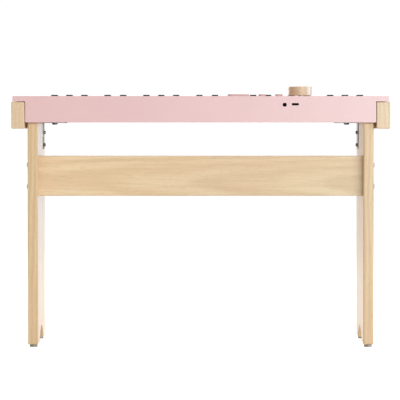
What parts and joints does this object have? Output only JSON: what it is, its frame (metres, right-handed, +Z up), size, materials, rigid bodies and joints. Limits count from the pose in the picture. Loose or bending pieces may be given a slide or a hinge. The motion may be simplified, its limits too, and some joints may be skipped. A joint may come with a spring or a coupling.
{
  "type": "children's digital piano",
  "caption": "Low digital piano for children: pink case on plank legs with a stretcher, hinged keys, turned wooden volume knob, push buttons, headphone and USB-C sockets",
  "frame": {"origin": "on the floor under the middle of the piano", "axes": "+Z is up, the player sits at -Y, and the treble end of the keyboard is at +X"},
  "size_m": [0.666, 0.25, 0.4604],
  "materials": {
    "pink_plastic": "satin",
    "maple": "clear satin lacquer",
    "turned_wood": "clear satin lacquer",
    "dark_steel": "dark coating",
    "steel": "zinc plated",
    "dark_rubber": "matte",
    "frame_plastic": "as moulded",
    "dome_rubber": "matte",
    "board_laminate": "solder mask",
    "speaker_metal": "black",
    "white_key_plastic": "gloss",
    "black_key_plastic": "satin"
  },
  "bodies": {
    "cabinet": {"top_case": "pink_plastic", "bottom_cover": "pink_plastic", "side_rails": "maple", "legs": "maple", "stretcher": "maple", "leg_brackets": "dark_steel", "screws": "steel", "foot_pads": "dark_rubber", "key_frame": "frame_plastic", "rubber_domes": "dome_rubber", "circuit_boards": "board_laminate", "speakers": "speaker_metal"},
    "volume_knob": {"volume_knob": "turned_wood"},
    "bar_button": {"bar_button": "pink_plastic"},
    "round_button_1": {"round_button_1": "pink_plastic"},
    "round_button_2": {"round_button_2": "pink_plastic"},
    "white_key_01": {"white_key_01": "white_key_plastic"},
    "white_key_02": {"white_key_02": "white_key_plastic"},
    "white_key_03": {"white_key_03": "white_key_plastic"},
    "white_key_04": {"white_key_04": "white_key_plastic"},
    "white_key_05": {"white_key_05": "white_key_plastic"},
    "white_key_06": {"white_key_06": "white_key_plastic"},
    "white_key_07": {"white_key_07": "white_key_plastic"},
    "white_key_08": {"white_key_08": "white_key_plastic"},
    "white_key_09": {"white_key_09": "white_key_plastic"},
    "white_key_10": {"white_key_10": "white_key_plastic"},
    "white_key_11": {"white_key_11": "white_key_plastic"},
    "white_key_12": {"white_key_12": "white_key_plastic"},
    "white_key_13": {"white_key_13": "white_key_plastic"},
    "white_key_14": {"white_key_14": "white_key_plastic"},
    "white_key_15": {"white_key_15": "white_key_plastic"},
    "white_key_16": {"white_key_16": "white_key_plastic"},
    "white_key_17": {"white_key_17": "white_key_plastic"},
    "white_key_18": {"white_key_18": "white_key_plastic"},
    "white_key_19": {"white_key_19": "white_key_plastic"},
    "white_key_20": {"white_key_20": "white_key_plastic"},
    "white_key_21": {"white_key_21": "white_key_plastic"},
    "white_key_22": {"white_key_22": "white_key_plastic"},
    "white_key_23": {"white_key_23": "white_key_plastic"},
    "white_key_24": {"white_key_24": "white_key_plastic"},
    "white_key_25": {"white_key_25": "white_key_plastic"},
    "white_key_26": {"white_key_26": "white_key_plastic"},
    "black_key_01": {"black_key_01": "black_key_plastic"},
    "black_key_02": {"black_key_02": "black_key_plastic"},
    "black_key_03": {"black_key_03": "black_key_plastic"},
    "black_key_04": {"black_key_04": "black_key_plastic"},
    "black_key_05": {"black_key_05": "black_key_plastic"},
    "black_key_06": {"black_key_06": "black_key_plastic"},
    "black_key_07": {"black_key_07": "black_key_plastic"},
    "black_key_08": {"black_key_08": "black_key_plastic"},
    "black_key_09": {"black_key_09": "black_key_plastic"},
    "black_key_10": {"black_key_10": "black_key_plastic"},
    "black_key_11": {"black_key_11": "black_key_plastic"},
    "black_key_12": {"black_key_12": "black_key_plastic"},
    "black_key_13": {"black_key_13": "black_key_plastic"},
    "black_key_14": {"black_key_14": "black_key_plastic"},
    "black_key_15": {"black_key_15": "black_key_plastic"},
    "black_key_16": {"black_key_16": "black_key_plastic"},
    "black_key_17": {"black_key_17": "black_key_plastic"},
    "black_key_18": {"black_key_18": "black_key_plastic"}
  },
  "joints": [
    {"name": "volume_knob_turn", "type": "hinge", "parent": "cabinet", "child": "volume_knob", "pos_m": [-0.1757, 0.081, 0.4445], "axis": [0, 0, 1], "range_deg": [-150, 150]},
    {"name": "bar_button_press", "type": "slide", "parent": "cabinet", "child": "bar_button", "axis": [0, 0, -1], "range_m": [0, 0.0015], "stiffness_N_per_m": 200, "springref_m": -0.004},
    {"name": "round_button_1_press", "type": "slide", "parent": "cabinet", "child": "round_button_1", "axis": [0, 0, -1], "range_m": [0, 0.0015], "stiffness_N_per_m": 200, "springref_m": -0.004},
    {"name": "round_button_2_press", "type": "slide", "parent": "cabinet", "child": "round_button_2", "axis": [0, 0, -1], "range_m": [0, 0.0015], "stiffness_N_per_m": 200, "springref_m": -0.004},
    {"name": "white_key_01_turn", "type": "hinge", "parent": "cabinet", "child": "white_key_01", "pos_m": [-0.29375, 0.058, 0.4225], "axis": [1, 0, 0], "range_deg": [0, 2.6], "stiffness_Nm_per_rad": 0.6, "springref_deg": -8.59, "deforming": ["rubber_domes"]},
    {"name": "white_key_02_turn", "type": "hinge", "parent": "cabinet", "child": "white_key_02", "pos_m": [-0.27025, 0.058, 0.4225], "axis": [1, 0, 0], "range_deg": [0, 2.6], "stiffness_Nm_per_rad": 0.6, "springref_deg": -8.59, "deforming": ["rubber_domes"]},
    {"name": "white_key_03_turn", "type": "hinge", "parent": "cabinet", "child": "white_key_03", "pos_m": [-0.24675, 0.058, 0.4225], "axis": [1, 0, 0], "range_deg": [0, 2.6], "stiffness_Nm_per_rad": 0.6, "springref_deg": -8.59, "deforming": ["rubber_domes"]},
    {"name": "white_key_04_turn", "type": "hinge", "parent": "cabinet", "child": "white_key_04", "pos_m": [-0.22325, 0.058, 0.4225], "axis": [1, 0, 0], "range_deg": [0, 2.6], "stiffness_Nm_per_rad": 0.6, "springref_deg": -8.59, "deforming": ["rubber_domes"]},
    {"name": "white_key_05_turn", "type": "hinge", "parent": "cabinet", "child": "white_key_05", "pos_m": [-0.19975, 0.058, 0.4225], "axis": [1, 0, 0], "range_deg": [0, 2.6], "stiffness_Nm_per_rad": 0.6, "springref_deg": -8.59, "deforming": ["rubber_domes"]},
    {"name": "white_key_06_turn", "type": "hinge", "parent": "cabinet", "child": "white_key_06", "pos_m": [-0.17625, 0.058, 0.4225], "axis": [1, 0, 0], "range_deg": [0, 2.6], "stiffness_Nm_per_rad": 0.6, "springref_deg": -8.59, "deforming": ["rubber_domes"]},
    {"name": "white_key_07_turn", "type": "hinge", "parent": "cabinet", "child": "white_key_07", "pos_m": [-0.15275, 0.058, 0.4225], "axis": [1, 0, 0], "range_deg": [0, 2.6], "stiffness_Nm_per_rad": 0.6, "springref_deg": -8.59, "deforming": ["rubber_domes"]},
    {"name": "white_key_08_turn", "type": "hinge", "parent": "cabinet", "child": "white_key_08", "pos_m": [-0.12925, 0.058, 0.4225], "axis": [1, 0, 0], "range_deg": [0, 2.6], "stiffness_Nm_per_rad": 0.6, "springref_deg": -8.59, "deforming": ["rubber_domes"]},
    {"name": "white_key_09_turn", "type": "hinge", "parent": "cabinet", "child": "white_key_09", "pos_m": [-0.10575, 0.058, 0.4225], "axis": [1, 0, 0], "range_deg": [0, 2.6], "stiffness_Nm_per_rad": 0.6, "springref_deg": -8.59, "deforming": ["rubber_domes"]},
    {"name": "white_key_10_turn", "type": "hinge", "parent": "cabinet", "child": "white_key_10", "pos_m": [-0.08225, 0.058, 0.4225], "axis": [1, 0, 0], "range_deg": [0, 2.6], "stiffness_Nm_per_rad": 0.6, "springref_deg": -8.59, "deforming": ["rubber_domes"]},
    {"name": "white_key_11_turn", "type": "hinge", "parent": "cabinet", "child": "white_key_11", "pos_m": [-0.05875, 0.058, 0.4225], "axis": [1, 0, 0], "range_deg": [0, 2.6], "stiffness_Nm_per_rad": 0.6, "springref_deg": -8.59, "deforming": ["rubber_domes"]},
    {"name": "white_key_12_turn", "type": "hinge", "parent": "cabinet", "child": "white_key_12", "pos_m": [-0.03525, 0.058, 0.4225], "axis": [1, 0, 0], "range_deg": [0, 2.6], "stiffness_Nm_per_rad": 0.6, "springref_deg": -8.59, "deforming": ["rubber_domes"]},
    {"name": "white_key_13_turn", "type": "hinge", "parent": "cabinet", "child": "white_key_13", "pos_m": [-0.01175, 0.058, 0.4225], "axis": [1, 0, 0], "range_deg": [0, 2.6], "stiffness_Nm_per_rad": 0.6, "springref_deg": -8.59, "deforming": ["rubber_domes"]},
    {"name": "white_key_14_turn", "type": "hinge", "parent": "cabinet", "child": "white_key_14", "pos_m": [0.01175, 0.058, 0.4225], "axis": [1, 0, 0], "range_deg": [0, 2.6], "stiffness_Nm_per_rad": 0.6, "springref_deg": -8.59, "deforming": ["rubber_domes"]},
    {"name": "white_key_15_turn", "type": "hinge", "parent": "cabinet", "child": "white_key_15", "pos_m": [0.03525, 0.058, 0.4225], "axis": [1, 0, 0], "range_deg": [0, 2.6], "stiffness_Nm_per_rad": 0.6, "springref_deg": -8.59, "deforming": ["rubber_domes"]},
    {"name": "white_key_16_turn", "type": "hinge", "parent": "cabinet", "child": "white_key_16", "pos_m": [0.05875, 0.058, 0.4225], "axis": [1, 0, 0], "range_deg": [0, 2.6], "stiffness_Nm_per_rad": 0.6, "springref_deg": -8.59, "deforming": ["rubber_domes"]},
    {"name": "white_key_17_turn", "type": "hinge", "parent": "cabinet", "child": "white_key_17", "pos_m": [0.08225, 0.058, 0.4225], "axis": [1, 0, 0], "range_deg": [0, 2.6], "stiffness_Nm_per_rad": 0.6, "springref_deg": -8.59, "deforming": ["rubber_domes"]},
    {"name": "white_key_18_turn", "type": "hinge", "parent": "cabinet", "child": "white_key_18", "pos_m": [0.10575, 0.058, 0.4225], "axis": [1, 0, 0], "range_deg": [0, 2.6], "stiffness_Nm_per_rad": 0.6, "springref_deg": -8.59, "deforming": ["rubber_domes"]},
    {"name": "white_key_19_turn", "type": "hinge", "parent": "cabinet", "child": "white_key_19", "pos_m": [0.12925, 0.058, 0.4225], "axis": [1, 0, 0], "range_deg": [0, 2.6], "stiffness_Nm_per_rad": 0.6, "springref_deg": -8.59, "deforming": ["rubber_domes"]},
    {"name": "white_key_20_turn", "type": "hinge", "parent": "cabinet", "child": "white_key_20", "pos_m": [0.15275, 0.058, 0.4225], "axis": [1, 0, 0], "range_deg": [0, 2.6], "stiffness_Nm_per_rad": 0.6, "springref_deg": -8.59, "deforming": ["rubber_domes"]},
    {"name": "white_key_21_turn", "type": "hinge", "parent": "cabinet", "child": "white_key_21", "pos_m": [0.17625, 0.058, 0.4225], "axis": [1, 0, 0], "range_deg": [0, 2.6], "stiffness_Nm_per_rad": 0.6, "springref_deg": -8.59, "deforming": ["rubber_domes"]},
    {"name": "white_key_22_turn", "type": "hinge", "parent": "cabinet", "child": "white_key_22", "pos_m": [0.19975, 0.058, 0.4225], "axis": [1, 0, 0], "range_deg": [0, 2.6], "stiffness_Nm_per_rad": 0.6, "springref_deg": -8.59, "deforming": ["rubber_domes"]},
    {"name": "white_key_23_turn", "type": "hinge", "parent": "cabinet", "child": "white_key_23", "pos_m": [0.22325, 0.058, 0.4225], "axis": [1, 0, 0], "range_deg": [0, 2.6], "stiffness_Nm_per_rad": 0.6, "springref_deg": -8.59, "deforming": ["rubber_domes"]},
    {"name": "white_key_24_turn", "type": "hinge", "parent": "cabinet", "child": "white_key_24", "pos_m": [0.24675, 0.058, 0.4225], "axis": [1, 0, 0], "range_deg": [0, 2.6], "stiffness_Nm_per_rad": 0.6, "springref_deg": -8.59, "deforming": ["rubber_domes"]},
    {"name": "white_key_25_turn", "type": "hinge", "parent": "cabinet", "child": "white_key_25", "pos_m": [0.27025, 0.058, 0.4225], "axis": [1, 0, 0], "range_deg": [0, 2.6], "stiffness_Nm_per_rad": 0.6, "springref_deg": -8.59, "deforming": ["rubber_domes"]},
    {"name": "white_key_26_turn", "type": "hinge", "parent": "cabinet", "child": "white_key_26", "pos_m": [0.29375, 0.058, 0.4225], "axis": [1, 0, 0], "range_deg": [0, 2.6], "stiffness_Nm_per_rad": 0.6, "springref_deg": -8.59, "deforming": ["rubber_domes"]},
    {"name": "black_key_01_turn", "type": "hinge", "parent": "cabinet", "child": "black_key_01", "pos_m": [-0.2852, 0.058, 0.4225], "axis": [1, 0, 0], "range_deg": [0, 2.6], "stiffness_Nm_per_rad": 0.6, "springref_deg": -8.59, "deforming": ["rubber_domes"]},
    {"name": "black_key_02_turn", "type": "hinge", "parent": "cabinet", "child": "black_key_02", "pos_m": [-0.2585, 0.058, 0.4225], "axis": [1, 0, 0], "range_deg": [0, 2.6], "stiffness_Nm_per_rad": 0.6, "springref_deg": -8.59, "deforming": ["rubber_domes"]},
    {"name": "black_key_03_turn", "type": "hinge", "parent": "cabinet", "child": "black_key_03", "pos_m": [-0.2318, 0.058, 0.4225], "axis": [1, 0, 0], "range_deg": [0, 2.6], "stiffness_Nm_per_rad": 0.6, "springref_deg": -8.59, "deforming": ["rubber_domes"]},
    {"name": "black_key_04_turn", "type": "hinge", "parent": "cabinet", "child": "black_key_04", "pos_m": [-0.1902, 0.058, 0.4225], "axis": [1, 0, 0], "range_deg": [0, 2.6], "stiffness_Nm_per_rad": 0.6, "springref_deg": -8.59, "deforming": ["rubber_domes"]},
    {"name": "black_key_05_turn", "type": "hinge", "parent": "cabinet", "child": "black_key_05", "pos_m": [-0.1623, 0.058, 0.4225], "axis": [1, 0, 0], "range_deg": [0, 2.6], "stiffness_Nm_per_rad": 0.6, "springref_deg": -8.59, "deforming": ["rubber_domes"]},
    {"name": "black_key_06_turn", "type": "hinge", "parent": "cabinet", "child": "black_key_06", "pos_m": [-0.1207, 0.058, 0.4225], "axis": [1, 0, 0], "range_deg": [0, 2.6], "stiffness_Nm_per_rad": 0.6, "springref_deg": -8.59, "deforming": ["rubber_domes"]},
    {"name": "black_key_07_turn", "type": "hinge", "parent": "cabinet", "child": "black_key_07", "pos_m": [-0.094, 0.058, 0.4225], "axis": [1, 0, 0], "range_deg": [0, 2.6], "stiffness_Nm_per_rad": 0.6, "springref_deg": -8.59, "deforming": ["rubber_domes"]},
    {"name": "black_key_08_turn", "type": "hinge", "parent": "cabinet", "child": "black_key_08", "pos_m": [-0.0673, 0.058, 0.4225], "axis": [1, 0, 0], "range_deg": [0, 2.6], "stiffness_Nm_per_rad": 0.6, "springref_deg": -8.59, "deforming": ["rubber_domes"]},
    {"name": "black_key_09_turn", "type": "hinge", "parent": "cabinet", "child": "black_key_09", "pos_m": [-0.0257, 0.058, 0.4225], "axis": [1, 0, 0], "range_deg": [0, 2.6], "stiffness_Nm_per_rad": 0.6, "springref_deg": -8.59, "deforming": ["rubber_domes"]},
    {"name": "black_key_10_turn", "type": "hinge", "parent": "cabinet", "child": "black_key_10", "pos_m": [0.0022, 0.058, 0.4225], "axis": [1, 0, 0], "range_deg": [0, 2.6], "stiffness_Nm_per_rad": 0.6, "springref_deg": -8.59, "deforming": ["rubber_domes"]},
    {"name": "black_key_11_turn", "type": "hinge", "parent": "cabinet", "child": "black_key_11", "pos_m": [0.0438, 0.058, 0.4225], "axis": [1, 0, 0], "range_deg": [0, 2.6], "stiffness_Nm_per_rad": 0.6, "springref_deg": -8.59, "deforming": ["rubber_domes"]},
    {"name": "black_key_12_turn", "type": "hinge", "parent": "cabinet", "child": "black_key_12", "pos_m": [0.0705, 0.058, 0.4225], "axis": [1, 0, 0], "range_deg": [0, 2.6], "stiffness_Nm_per_rad": 0.6, "springref_deg": -8.59, "deforming": ["rubber_domes"]},
    {"name": "black_key_13_turn", "type": "hinge", "parent": "cabinet", "child": "black_key_13", "pos_m": [0.0972, 0.058, 0.4225], "axis": [1, 0, 0], "range_deg": [0, 2.6], "stiffness_Nm_per_rad": 0.6, "springref_deg": -8.59, "deforming": ["rubber_domes"]},
    {"name": "black_key_14_turn", "type": "hinge", "parent": "cabinet", "child": "black_key_14", "pos_m": [0.1388, 0.058, 0.4225], "axis": [1, 0, 0], "range_deg": [0, 2.6], "stiffness_Nm_per_rad": 0.6, "springref_deg": -8.59, "deforming": ["rubber_domes"]},
    {"name": "black_key_15_turn", "type": "hinge", "parent": "cabinet", "child": "black_key_15", "pos_m": [0.1667, 0.058, 0.4225], "axis": [1, 0, 0], "range_deg": [0, 2.6], "stiffness_Nm_per_rad": 0.6, "springref_deg": -8.59, "deforming": ["rubber_domes"]},
    {"name": "black_key_16_turn", "type": "hinge", "parent": "cabinet", "child": "black_key_16", "pos_m": [0.2083, 0.058, 0.4225], "axis": [1, 0, 0], "range_deg": [0, 2.6], "stiffness_Nm_per_rad": 0.6, "springref_deg": -8.59, "deforming": ["rubber_domes"]},
    {"name": "black_key_17_turn", "type": "hinge", "parent": "cabinet", "child": "black_key_17", "pos_m": [0.235, 0.058, 0.4225], "axis": [1, 0, 0], "range_deg": [0, 2.6], "stiffness_Nm_per_rad": 0.6, "springref_deg": -8.59, "deforming": ["rubber_domes"]},
    {"name": "black_key_18_turn", "type": "hinge", "parent": "cabinet", "child": "black_key_18", "pos_m": [0.2617, 0.058, 0.4225], "axis": [1, 0, 0], "range_deg": [0, 2.6], "stiffness_Nm_per_rad": 0.6, "springref_deg": -8.59, "deforming": ["rubber_domes"]}
  ]
}
